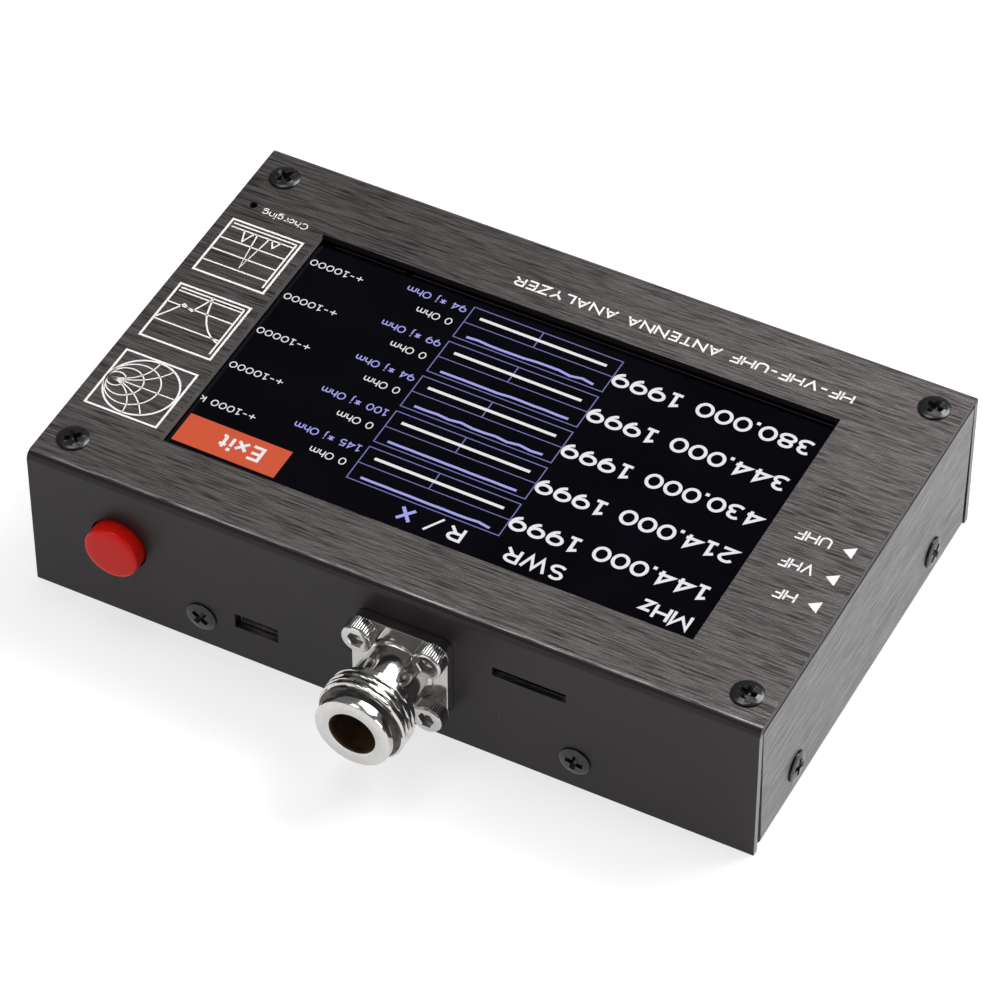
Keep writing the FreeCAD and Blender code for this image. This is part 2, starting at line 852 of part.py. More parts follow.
def connector_contact():
    """The centre contact, a socket at the front and a solder pin at the back."""
    tip = Vector(0, 0, -contact_recess)
    step = Vector(0, 0, -connector_reach)
    front = cylinder(contact_radius, tip, down, connector_reach - contact_recess)
    tail = cylinder(contact_tail_radius, step, down, contact_end - connector_reach)
    hole = cylinder(contact_bore_radius, tip, down, contact_bore_depth)
    contact = joined([front, tail]).cut(hole)
    return placed(contact, Vector(connector_x, nose_face_y, connector_z), outwards)


def connector_screws():
    """The four socket-head screws through the flange."""
    screw = socket_screw(flange_bolt_length)
    return [placed(screw, Vector(x, flange_face_y, z), outwards) for x, z in flange_holes()]


def connector_nuts():
    """The four nuts behind the front wall."""
    nut = hexagon(nut_flats, nut_height).cut(cylinder(tapped_radius, Vector(0, 0, 0), up, nut_height))
    return [placed(nut, Vector(x, -wall_inside_y, z), Vector(0, 1, 0)) for x, z in flange_holes()]


def signal_lead():
    """The short wire from the centre contact up to the main board."""
    start_y = signal_lead_y - signal_lead_run
    places = [(start_y, connector_z), (signal_lead_y, connector_z), (signal_lead_y, board_underside_z)]
    return tube([Vector(connector_x, y, z) for y, z in places], signal_lead_radius)


def button_cap():
    """The round push button cap, bored square for the plunger."""
    start = Vector(button_x, button_rear_y, button_z)
    cap = cylinder(button_radius, start, outwards, button_length)
    front = [e for e in cap.Edges if abs(e.CenterOfMass.y - button_face_y) < 0.01]
    cap = cap.makeFillet(button_edge, front)
    return cap.cut(plunger_bar(plunger_side, button_rear_y - plunger_in_cap, button_rear_y))


def plunger_bar(side, y0, y1):
    """A square bar on the button's axis."""
    half = side / 2
    return box(button_x - half, button_x + half, y0, y1, button_z - half, button_z + half)


def switch_plunger():
    """The square plunger that the cap is pressed on."""
    return plunger_bar(plunger_side, button_rear_y - plunger_in_cap, switch_face_y + plunger_in_switch)


def switch_body():
    """The body of the push switch, under the main board."""
    half = switch_width / 2
    low = button_z - switch_below_plunger
    back = switch_face_y + switch_depth
    body = box(button_x - half, button_x + half, switch_face_y, back, low, board_underside_z)
    well_end = switch_face_y + plunger_in_switch + button_travel + plunger_end_gap
    return body.cut(plunger_bar(plunger_side + 2 * plunger_clearance, switch_face_y - over, well_end))


def switch_pins():
    """The switch's pins through the main board."""
    feet = [Vector(x, y, board_underside_z) for x, y in switch_pin_places()]
    return [cylinder(pin_radius, foot, up, pin_length) for foot in feet]


def switch_spring():
    """The coil spring between the switch and the cap."""
    start = button_rear_y + spring_wire_radius
    climb = switch_gap - 2 * spring_wire_radius

    def point(share):
        angle = 2 * math.pi * spring_turns * share
        x = button_x + spring_mean_radius * math.cos(angle)
        return Vector(x, start + climb * share, button_z + spring_mean_radius * math.sin(angle))

    count = 4 * spring_turns
    edges = [Part.Arc(point(i / count), point((i + 0.5) / count), point((i + 1) / count)).toShape()
             for i in range(count)]
    path = Part.Wire(edges)
    heading = edges[0].tangentAt(edges[0].FirstParameter)
    ring = Part.Wire(Part.makeCircle(spring_wire_radius, point(0), heading))
    return path.makePipeShell([ring], True, False)


def charger_board():
    """The small board that carries the charging socket."""
    half = charger_width / 2
    y0 = charger_front_y
    board = box(usb_x - half, usb_x + half, y0, y0 + charger_length, charger_underside_z, charger_top_z)
    through = charger_top_z + over
    holes = [cylinder(spacer_bore_radius, Vector(x, y, 0), up, through) for x, y in charger_posts()]
    return board.cut(holes)


def charger_spacers():
    """Round spacers between the tray and the charger board."""
    spacers = []
    for x, y in charger_posts():
        start = Vector(x, y, tray_top_z)
        length = charger_underside_z - tray_top_z
        ring = cylinder(spacer_radius, start, up, length)
        spacers.append(ring.cut(cylinder(spacer_bore_radius, start, up, length)))
    return spacers


def charger_screws():
    """Small screws through the charger board into its spacers."""
    screw = pan_screw(small_head_radius, small_head_height, spacer_bore_radius, small_screw_length)
    return [placed(screw, Vector(x, y, charger_top_z), up) for x, y in charger_posts()]


def charger_chips():
    """The charge controller and its coil under the charger board."""
    middle_y = (spacer_front_y + spacer_rear_y) / 2
    ys = (middle_y - coil_pitch / 2, middle_y + coil_pitch / 2)
    return [chip(usb_x, y, coil_length, coil_width, charger_underside_z) for y in ys]


def usb_socket():
    """The metal charging socket with its tongue, just behind its slot."""
    y0 = -wall_inside_y + usb_wall_gap
    y1 = y0 + usb_shell_depth
    half = usb_shell_length / 2
    z0 = usb_z - usb_shell_height / 2
    z1 = usb_z + usb_shell_height / 2
    wall = usb_shell_wall
    shell = box(usb_x - half, usb_x + half, y0, y1, z0, z1)
    back = y1 - usb_back_wall
    hollow = box(usb_x - half + wall, usb_x + half - wall, y0 - over, back, z0 + wall, z1 - wall)
    half = usb_tongue_length / 2
    low = usb_z + usb_tongue_rise
    tongue = box(usb_x - half, usb_x + half, y0 + usb_tongue_recess, y1, low, low + usb_tongue_height)
    return joined([shell.cut(hollow), tongue])


def battery_cell():
    """The flat lithium cell."""
    y0 = cell_y - cell_width / 2
    cell = box(cell_start_x, cell_end_x, y0, y0 + cell_width, cell_underside_z, cell_top_z)
    long_edges = [e for e in cell.Edges if abs(e.BoundBox.XLength - cell_length) < 0.01]
    return cell.makeFillet(cell_edge, long_edges)


def battery_pads():
    """Two strips of foam tape under the cell."""
    x0 = cell_start_x + cell_pad_inset
    x1 = cell_end_x - cell_pad_inset
    pads = []
    for side in (-1, 1):
        y0 = cell_y + side * cell_pad_offset - cell_pad_width / 2
        pads.append(box(x0, x1, y0, y0 + cell_pad_width, tray_top_z, cell_underside_z))
    return pads


def battery_plug():
    """The plug and header of the battery leads, on the charger board."""
    x1 = charger_edge_x - plug_edge
    y0 = plug_y - plug_width / 2
    return box(x1 - plug_length, x1, y0, y0 + plug_width, charger_top_z, charger_top_z + plug_height)


def battery_leads():
    """The two leads from the plug to the cell."""
    start_x = charger_edge_x - plug_edge
    end_x = cell_start_x
    high = charger_top_z + plug_height / 2
    low = high - lead_drop
    leads = []
    for side in (-1, 1):
        y = plug_y + side * lead_pitch / 2
        points = [Vector(start_x, y, high), Vector(start_x + lead_end_run, y, high)]
        points += [Vector(end_x - lead_end_run, y, low), Vector(end_x, y, low)]
        leads.append(tube(points, lead_radius))
    return leads


def supply_leads():
    """The two leads from the charger board up to the main board."""
    low = charger_top_z
    rise = board_underside_z - low
    places = [(0, 0), (0, 0.25), (supply_bow, 0.5), (0, 0.75), (0, 1)]
    leads = []
    for side in (-1, 1):
        y = supply_y + side * supply_pitch / 2
        points = [Vector(usb_x - bow, y, low + rise * share) for bow, share in places]
        leads.append(tube(points, lead_radius))
    return leads


nodes = {
    "top_cover": top_cover,
    "bottom_cover": bottom_cover,
    "battery_tray": battery_tray,
    "top_screws": top_screws,
    "cover_screws": cover_screws,
    "board_standoffs": board_standoffs,
    "board_screws": board_screws,
    "main_board": main_board,
    "main_chips": main_chips,
    "shield_can": shield_can,
    "card_socket": card_socket,
    "charge_led": charge_led,
    "display_glass": lambda: display_plate(glass_length, glass_width, panel_top_z, glass_top_z),
    "display_panel": lambda: display_plate(glass_length, glass_width, panel_underside_z, panel_top_z),
    "display_tape": display_tape,
    "display_pads": display_pads,
    "display_ribbon": display_ribbon,
    "ribbon_socket": ribbon_socket,
    "connector_body": connector_body,
    "connector_insulator": connector_insulator,
    "connector_contact": connector_contact,
    "connector_screws": connector_screws,
    "connector_nuts": connector_nuts,
    "signal_lead": signal_lead,
    "button_cap": button_cap,
    "switch_plunger": switch_plunger,
    "switch_spring": switch_spring,
    "switch_body": switch_body,
    "switch_pins": switch_pins,
    "charger_board": charger_board,
    "charger_spacers": charger_spacers,
    "charger_screws": charger_screws,
    "charger_chips": charger_chips,
    "usb_socket": usb_socket,
    "battery_cell": battery_cell,
    "battery_pads": battery_pads,
    "battery_plug": battery_plug,
    "battery_leads": battery_leads,
    "supply_leads": supply_leads,
}

os.makedirs("parts", exist_ok=True)
for name, make in nodes.items():
    made = make()
    solids = made if isinstance(made, list) else [made]
    shape = Part.makeCompound(solids) if len(solids) > 1 else solids[0]
    shape.exportStep("parts/" + name + ".step")
    bounds = shape.BoundBox
    state = "valid" if shape.isValid() else "INVALID"
    lows = [round(v, 2) for v in (bounds.XMin, bounds.YMin, bounds.ZMin)]
    highs = [round(v, 2) for v in (bounds.XMax, bounds.YMax, bounds.ZMax)]
    print(name, len(shape.Solids), "solids", round(shape.Volume, 1), "mm3", state, lows, highs)
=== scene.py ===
import json
import math

import bpy
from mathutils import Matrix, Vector


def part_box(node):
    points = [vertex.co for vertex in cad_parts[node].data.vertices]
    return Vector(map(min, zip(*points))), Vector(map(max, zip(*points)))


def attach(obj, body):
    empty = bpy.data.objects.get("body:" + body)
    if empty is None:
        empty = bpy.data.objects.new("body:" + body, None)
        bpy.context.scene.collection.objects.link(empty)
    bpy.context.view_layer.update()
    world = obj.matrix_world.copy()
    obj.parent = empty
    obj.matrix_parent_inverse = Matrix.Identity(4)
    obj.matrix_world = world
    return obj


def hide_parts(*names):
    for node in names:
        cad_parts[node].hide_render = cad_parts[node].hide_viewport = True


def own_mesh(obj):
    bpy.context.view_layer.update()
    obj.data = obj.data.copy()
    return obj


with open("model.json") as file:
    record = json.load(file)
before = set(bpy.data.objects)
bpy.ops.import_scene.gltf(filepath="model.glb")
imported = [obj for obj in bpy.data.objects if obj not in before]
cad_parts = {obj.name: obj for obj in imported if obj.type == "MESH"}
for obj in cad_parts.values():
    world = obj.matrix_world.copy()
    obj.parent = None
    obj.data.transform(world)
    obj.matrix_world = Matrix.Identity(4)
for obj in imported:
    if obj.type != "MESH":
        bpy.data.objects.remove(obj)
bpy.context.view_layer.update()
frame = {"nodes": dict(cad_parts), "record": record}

MM = 0.001

# The case's faces and centre lines, in millimetres
TOP = 29.6
FRONT_WALL = -42.1
SIDE_WALL = 66.5
WALL_SCREW_Z = 6.2

# The camera fitted to the photo
AZIMUTH = math.radians(27.423)
ELEVATION = math.radians(45.802)
DISTANCE = 863.29 * MM
AIM = Vector((0.862, -3.279, 14.815)) * MM


# Camera

camera_data = bpy.data.cameras.new("camera")
camera = bpy.data.objects.new("camera", camera_data)
bpy.context.scene.collection.objects.link(camera)
camera_data.sensor_fit = "HORIZONTAL"
camera_data.sensor_width = 36.0
camera_data.lens = 186.806
camera_data.clip_start = 0.01
camera_data.clip_end = 20.0
level = math.cos(ELEVATION)
back = Vector((math.sin(AZIMUTH) * level, -math.cos(AZIMUTH) * level, math.sin(ELEVATION)))
camera.location = AIM + back * DISTANCE
camera.rotation_euler = back.to_track_quat("Z", "Y").to_euler()
bpy.context.scene.camera = camera
bpy.context.scene.view_settings.view_transform = "Standard"


# Materials

def new_material(name):
    """An empty node material and its tree."""
    made = bpy.data.materials.new(name)
    made.use_nodes = True
    tree = made.node_tree
    tree.nodes.clear()
    shader = tree.nodes.new("ShaderNodeBsdfPrincipled")
    output = tree.nodes.new("ShaderNodeOutputMaterial")
    tree.links.new(shader.outputs[0], output.inputs[0])
    return made, tree, shader


def node(tree, kind, **values):
    """A node with its inputs set by name."""
    made = tree.nodes.new(kind)
    for key, value in values.items():
        made.inputs[key.replace("_", " ")].default_value = value
    return made


def stretched(tree, scale):
    """Object coordinates scaled per axis, in features per metre."""
    coordinates = tree.nodes.new("ShaderNodeTexCoord")
    mapping = tree.nodes.new("ShaderNodeMapping")
    mapping.inputs["Scale"].default_value = scale
    tree.links.new(coordinates.outputs["Object"], mapping.inputs["Vector"])
    return mapping.outputs[0]


def noise(tree, scale, detail=3.0, rough=0.55):
    """A noise value over object coordinates."""
    made = node(tree, "ShaderNodeTexNoise", Scale=1.0, Detail=detail, Roughness=rough)
    tree.links.new(stretched(tree, scale), made.inputs["Vector"])
    return made.outputs[0]


def spread(tree, value, low, high, start=0.3, end=0.7):
    """A value moved from the range start to end to the range low to high."""
    made = tree.nodes.new("ShaderNodeMapRange")
    made.inputs["From Min"].default_value = start
    made.inputs["From Max"].default_value = end
    made.inputs["To Min"].default_value = low
    made.inputs["To Max"].default_value = high
    tree.links.new(value, made.inputs["Value"])
    return made.outputs[0]


def mixed(tree, share, first, second):
    """A colour between two, each a colour or a socket."""
    made = tree.nodes.new("ShaderNodeMix")
    made.data_type = "RGBA"
    tree.links.new(share, made.inputs["Factor"])
    for socket, colour in ((made.inputs[6], first), (made.inputs[7], second)):
        if isinstance(colour, tuple):
            socket.default_value = (*colour, 1.0)
        else:
            tree.links.new(colour, socket)
    return made.outputs[2]


def product(tree, first, second, kind="MULTIPLY"):
    """Two values combined."""
    made = tree.nodes.new("ShaderNodeMath")
    made.operation = kind
    for socket, value in ((made.inputs[0], first), (made.inputs[1], second)):
        if isinstance(value, (int, float)):
            socket.default_value = value
        else:
            tree.links.new(value, socket)
    return made.outputs[0]


def bump(tree, shader, height, depth, strength=1.0):
    """Relief of the given depth in metres."""
    made = tree.nodes.new("ShaderNodeBump")
    made.inputs["Strength"].default_value = strength
    made.inputs["Distance"].default_value = depth
    tree.links.new(height, made.inputs["Height"])
    tree.links.new(made.outputs[0], shader.inputs["Normal"])


def facing(tree, axis):
    """1 where the surface faces along an object axis, either way, and 0 elsewhere."""
    coordinates = tree.nodes.new("ShaderNodeTexCoord")
    split = tree.nodes.new("ShaderNodeSeparateXYZ")
    tree.links.new(coordinates.outputs["Normal"], split.inputs[0])
    size = product(tree, split.outputs[axis], 0.0, "ABSOLUTE")
    return spread(tree, size, 0.0, 1.0, 0.90, 0.985)


def beyond(tree, axis, limit):
    """1 where an object coordinate is further than limit from the middle, and 0 elsewhere."""
    coordinates = tree.nodes.new("ShaderNodeTexCoord")
    split = tree.nodes.new("ShaderNodeSeparateXYZ")
    tree.links.new(coordinates.outputs["Object"], split.inputs[0])
    size = product(tree, split.outputs[axis], 0.0, "ABSOLUTE")
    return product(tree, size, limit, "GREATER_THAN")


def plain(name, colour, rough, metal=0.0, scale=(900, 900, 900), vary=0.25, relief=0.00002, **sockets):
    """A material with mottled colour and roughness and fine relief."""
    made, tree, shader = new_material(name)
    value = noise(tree, scale)
    dark = tuple(c * (1 - vary) for c in colour)
    light = tuple(min(1.0, c * (1 + vary)) for c in colour)
    tree.links.new(mixed(tree, spread(tree, value, 0, 1), dark, light), shader.inputs["Base Color"])
    tree.links.new(spread(tree, value, rough * 0.85, min(1.0, rough * 1.2)), shader.inputs["Roughness"])
    shader.inputs["Metallic"].default_value = metal
    for key, setting in sockets.items():
        shader.inputs[key.replace("_", " ")].default_value = setting
    bump(tree, shader, noise(tree, tuple(3 * s for s in scale)), relief, 0.5)
    return made


def dust(tree, scale, size):
    """Rare small specks: 1 on a speck and 0 elsewhere."""
    cells = tree.nodes.new("ShaderNodeTexVoronoi")
    cells.inputs["Scale"].default_value = 1.0
    tree.links.new(stretched(tree, (scale, scale, scale)), cells.inputs["Vector"])
    near = spread(tree, cells.outputs["Distance"], 1.0, 0.0, size * 0.6, size)
    split = tree.nodes.new("ShaderNodeSeparateColor")
    tree.links.new(cells.outputs["Color"], split.inputs[0])
    rare = spread(tree, split.outputs[0], 0.0, 1.0, 0.80, 0.82)
    return product(tree, near, rare)


def cover_material(name, grain_axis, flat_axis, edge_axis, brushed_dark, brushed_light, plain_colour):
    """Dark anodised sheet, brushed where it faces flat_axis, plain elsewhere; its edge_axis cuts are bare
    metal in the window and at the ends, with painted shade on the top's end cuts.
    """
    made, tree, shader = new_material(name)
    fine_scale = [5600.0, 5600.0, 5600.0]
    fine_scale[grain_axis] = 190.0
    fine = noise(tree, tuple(fine_scale), 2.0, 0.6)
    broad_scale = [2300.0, 2300.0, 2300.0]
    broad_scale[grain_axis] = 70.0
    broad = noise(tree, tuple(broad_scale), 2.0, 0.5)
    cloud = noise(tree, (45, 45, 45), 2.0)
    streak = product(tree, product(tree, fine, 0.68), product(tree, broad, 0.32), "ADD")
    streak = spread(tree, streak, 0.0, 1.0, 0.40, 0.61)
    brushed = mixed(tree, streak, brushed_dark, brushed_light)
    smooth = mixed(tree, spread(tree, cloud, 0, 1), tuple(c * 0.88 for c in plain_colour),
                   tuple(c * 1.12 for c in plain_colour))
    smooth = mixed(tree, dust(tree, 240.0, 0.045), smooth, (0.55, 0.54, 0.53))
    cut = facing(tree, edge_axis)
    high = beyond(tree, 2, 28 * MM)
    at_end = beyond(tree, 0, 66 * MM)
    in_window = product(tree, 1.0, beyond(tree, 1, 40 * MM), "SUBTRACT")
    smooth = mixed(tree, product(tree, cut, in_window), smooth, (0.13, 0.125, 0.12))
    smooth = mixed(tree, product(tree, cut, at_end), smooth, (0.26, 0.25, 0.245))
    # Near-black on the top's end cuts: the black cut edge darkened further as painted shade of the seam
    # between the top and the side panel.
    smooth = mixed(tree, product(tree, cut, product(tree, at_end, high)), smooth, (0.003, 0.003, 0.003))
    face = facing(tree, flat_axis)
    tree.links.new(mixed(tree, face, smooth, brushed), shader.inputs["Base Color"])
    tree.links.new(spread(tree, face, 0.0, 0.9, 0, 1), shader.inputs["Metallic"])
    face_rough = spread(tree, face, 0.42, 0.30, 0, 1)
    streak_rough = spread(tree, streak, 0.06, -0.05, 0, 1)
    rough = product(tree, face_rough, streak_rough, "ADD")
    tree.links.new(rough, shader.inputs["Roughness"])
    shader.inputs["Specular IOR Level"].default_value = 0.27
    shader.inputs["Anisotropic"].default_value = 0.3
    relief = product(tree, streak, face)
    peel = product(tree, noise(tree, (1500, 1500, 1500), 2.0), 0.25)
    bump(tree, shader, product(tree, relief, peel, "ADD"), 0.00001, 0.6)
    return made


def nickel(name, axis_scale, colour, rough, stain=0.0):
    """Plated metal with fine turning marks across one axis and faint stains."""
    made, tree, shader = new_material(name)
    marks = noise(tree, axis_scale, 1.0)
    patches = noise(tree, (260, 260, 260), 3.0)
    dirt = noise(tree, (2600, 2600, 2600), 4.0, 0.65)
    spots = spread(tree, dirt, 0.0, stain, 0.56, 0.68)
    base = mixed(tree, spread(tree, patches, 0, 1), tuple(c * 0.94 for c in colour), colour)
    tree.links.new(mixed(tree, spots, base, (0.10, 0.09, 0.085)), shader.inputs["Base Color"])
    shader.inputs["Metallic"].default_value = 1.0
    tree.links.new(spread(tree, patches, rough * 0.7, rough * 1.5), shader.inputs["Roughness"])
    bump(tree, shader, marks, 0.0000003, 0.3)
    return made


finishes = {
    "cover_paint": cover_material("brushed gunmetal top", 0, 2, 0, (0.041, 0.0365, 0.036),
                                  (0.290, 0.264, 0.262), (0.0165, 0.0118, 0.0128)),
    "side_paint": cover_material("brushed grey side", 1, 0, 1, (0.056, 0.054, 0.055),
                                 (0.150, 0.145, 0.147), (0.045, 0.042, 0.043)),
    "black_steel": plain("black oxide steel", (0.005, 0.005, 0.0055), 0.24, 0.0, (2500, 2500, 2500), 0.3,
                         0.000006),
    "nickel": nickel("polished nickel", (150, 5000, 150), (0.60, 0.589, 0.577), 0.12, 0.30),
    "bright_steel": nickel("zinc-plated steel", (3000, 3000, 3000), (0.56, 0.55, 0.54), 0.17, 0.4),
    "red_plastic": plain("red button plastic", (0.86, 0.012, 0.008), 0.22, 0.0, (500, 500, 500), 0.06,
                         0.000006, Specular_IOR_Level=0.18),
    "glass_black": plain("display glass", (0.0010, 0.0010, 0.0024), 0.07, 0.0, (60, 60, 60), 0.3, 0.000002,
                         Specular_IOR_Level=0.08),
    "panel": plain("display back", (0.02, 0.02, 0.024), 0.5),
    "board_green": plain("green solder mask", (0.012, 0.10, 0.04), 0.35, 0.0, (1200, 1200, 1200), 0.4),
    "black_plastic": plain("black moulded plastic", (0.018, 0.018, 0.018), 0.45),
    "white_plastic": plain("white moulded plastic", (0.72, 0.72, 0.69), 0.45, 0.0, (900, 900, 900), 0.05),
    "foam": plain("black foam tape", (0.02, 0.02, 0.02), 0.9, 0.0, (4000, 4000, 4000), 0.5, 0.00005),
    "aluminium": plain("bare aluminium sheet", (0.60, 0.60, 0.61), 0.35, 1.0, (90, 2500, 2500), 0.12,
                       0.00001),
    "brass": plain("turned brass", (0.70, 0.47, 0.19), 0.28, 1.0, (300, 300, 6000), 0.1, 0.00001),
    "gold": plain("gold plating", (0.80, 0.55, 0.22), 0.2, 1.0, (300, 6000, 300), 0.08, 0.000005),
    "tin": plain("tinned steel", (0.62, 0.61, 0.59), 0.3, 1.0, (1500, 1500, 1500), 0.12, 0.00001),
    "ptfe": plain("milky insulator", (0.62, 0.55, 0.42), 0.4, 0.0, (800, 800, 800), 0.06),
    "copper_lead": plain("red lead insulation", (0.45, 0.03, 0.02), 0.4, 0.0, (800, 800, 800), 0.1),
    "ribbon": plain("amber flat cable", (0.40, 0.17, 0.04), 0.4, 0.0, (2500, 100, 100), 0.25),
    "cell_wrap": plain("silver cell pouch", (0.55, 0.56, 0.58), 0.35, 0.9, (150, 150, 150), 0.1, 0.0001),
    "led_lens": plain("clear lamp lens", (0.06, 0.055, 0.05), 0.2, 0.0, (900, 900, 900), 0.1),
}
slot_of = {entry["node"]: entry["material_slot"] for entry in frame["record"]["subparts"]}
for name, part in frame["nodes"].items():
    part.data.materials.clear()
    part.data.materials.append(finishes[slot_of[name]])


def lit(name, colour, strength, rough=0.3):
    """A display pixel colour: dim plastic that glows, with a slight dot pattern."""
    made, tree, shader = new_material(name)
    value = noise(tree, (4500, 4500, 10), 2.0)
    dots = mixed(tree, spread(tree, value, 0, 1), tuple(c * 0.86 for c in colour), colour)
    shader.inputs["Base Color"].default_value = (0.01, 0.01, 0.01, 1)
    tree.links.new(dots, shader.inputs["Emission Color"])
    shader.inputs["Emission Strength"].default_value = strength
    tree.links.new(spread(tree, value, rough * 0.9, rough * 1.1), shader.inputs["Roughness"])
    return made


print_white = plain("white screen print", (0.80, 0.79, 0.78), 0.5, 0.0, (3000, 3000, 3000), 0.08, 0.000004)
lit_white = lit("lit white", (0.83, 0.83, 0.86), 1.0)
lit_lilac = lit("lit lilac", (0.38, 0.37, 0.86), 1.0)
lit_line = lit("lit dim lilac", (0.17, 0.165, 0.44), 1.0)
lit_orange = lit("lit orange", (0.64, 0.078, 0.018), 1.0)
# A faint glow for the window's back edge: a painted highlight, not display light.
window_edge_glow = lit("painted highlight on the window's back edge", (0.014, 0.014, 0.016), 1.0)


# Mesh helpers

def add_piece(name, points, faces, material, smooth=False, body="case"):
    """A mesh piece in the row frame that rides on a body."""
    mesh = bpy.data.meshes.new(name)
    mesh.from_pydata([tuple(p) for p in points], [], faces)
    mesh.materials.append(material)
    mesh.validate()
    piece = bpy.data.objects.new(name, mesh)
    bpy.context.scene.collection.objects.link(piece)
    if smooth:
        mesh.shade_smooth()
        mesh.set_sharp_from_angle(angle=math.radians(35))
    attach(piece, body)
    return piece


class Flat:
    """Flat raised artwork on a face that looks up. u runs to the reader's right, v up the page."""

    def __init__(self, low, high, shear=0.0):
        self.low = low
        self.high = high
        self.shear = shear
        self.points = []
        self.faces = []

    def at(self, x, y, z):
        """A point in metres from x and y on the face, in millimetres."""
        return Vector((x, y + self.shear * (48.0 - x), z)) * MM

    def outline(self, corners):
        """A thin prism with the given (x, y) corners."""
        start = len(self.points)
        count = len(corners)
        self.points += [self.at(x, y, self.low) for x, y in corners]
        self.points += [self.at(x, y, self.high) for x, y in corners]
        self.faces.append(tuple(range(start + count, start + 2 * count)))
        self.faces.append(tuple(reversed(range(start, start + count))))
        for i in range(count):
            j = (i + 1) % count
            self.faces.append((start + i, start + j, start + count + j, start + count + i))

    def line(self, path, width, closed=False):
        """A line of the given width along (x, y) points, with mitred corners."""
        count = len(path)
        sides = []
        for i in range(count):
            before = Vector(path[i - 1]) if closed or i else None
            after = Vector(path[(i + 1) % count]) if closed or i < count - 1 else None
            here = Vector(path[i])
            first = (here - before).normalized() if before is not None else (after - here).normalized()
            second = (after - here).normalized() if after is not None else first
            normal = Vector((-(first + second).y, (first + second).x))
            normal = normal.normalized() if normal.length > 1e-6 else Vector((-first.y, first.x))
            reach = width / 2 / max(0.4, normal.dot(Vector((-first.y, first.x))))
            sides.append((here + normal * reach, here - normal * reach))
        last = count if closed else count - 1
        for i in range(last):
            left, right = sides[i]
            next_left, next_right = sides[(i + 1) % count]
            corners = [left, right, next_right, next_left]
            area = sum(a.x * b.y - b.x * a.y for a, b in zip(corners, corners[1:] + corners[:1]))
            self.outline([tuple(c) for c in (corners if area > 0 else reversed(corners))])

    def box(self, x0, x1, y0, y1, width):
        """A rectangle drawn with a line."""
        self.line([(x0, y0), (x1, y0), (x1, y1), (x0, y1)], width, closed=True)

    def fill(self, corners):
        """A filled shape."""
        area = sum(a[0] * b[1] - b[0] * a[1] for a, b in zip(corners, corners[1:] + corners[:1]))
        self.outline(corners if area > 0 else list(reversed(corners)))

    def words(self, text, left, right, baseline, height, stroke):
        """Lettering of single strokes with capitals height tall, read from the far side."""
        total = sum(GLYPHS[c][0] for c in text) + SPACE * (len(text) - 1)
        across = (left - right - stroke) / total
        tall = height - stroke
        pen = 0.0
        for character in text:
            advance, paths = GLYPHS[character]
            for path in paths:
                points = [(left - stroke / 2 - (pen + x) * across, baseline - stroke / 2 - y * tall)
                          for x, y in path]
                closed = path[0] == path[-1] and len(path) > 2
                if len(path) == 1:
                    x, y = points[0]
                    dot = stroke * 0.55
                    self.fill([(x - dot, y - dot), (x + dot, y - dot),
                               (x + dot, y + dot), (x - dot, y + dot)])
                else:
                    self.line(points[:-1] if closed else points, stroke, closed)
            pen += advance + SPACE

    def piece(self, name, material, slot):
        """All of it as one piece."""
        return add_piece(name, self.points, self.faces, material)


def bow(x, y, across, up, start, end, steps=10):
    """Points on part of an ellipse, angles in degrees."""
    angles = [math.radians(start + (end - start) * i / steps) for i in range(steps + 1)]
    return [(x + across * math.cos(a), y + up * math.sin(a)) for a in angles]


def loop(x, y, across, up):
    """A closed ellipse."""
    points = bow(x, y, across, up, 0, 360, 24)
    return points[:-1] + [points[0]]


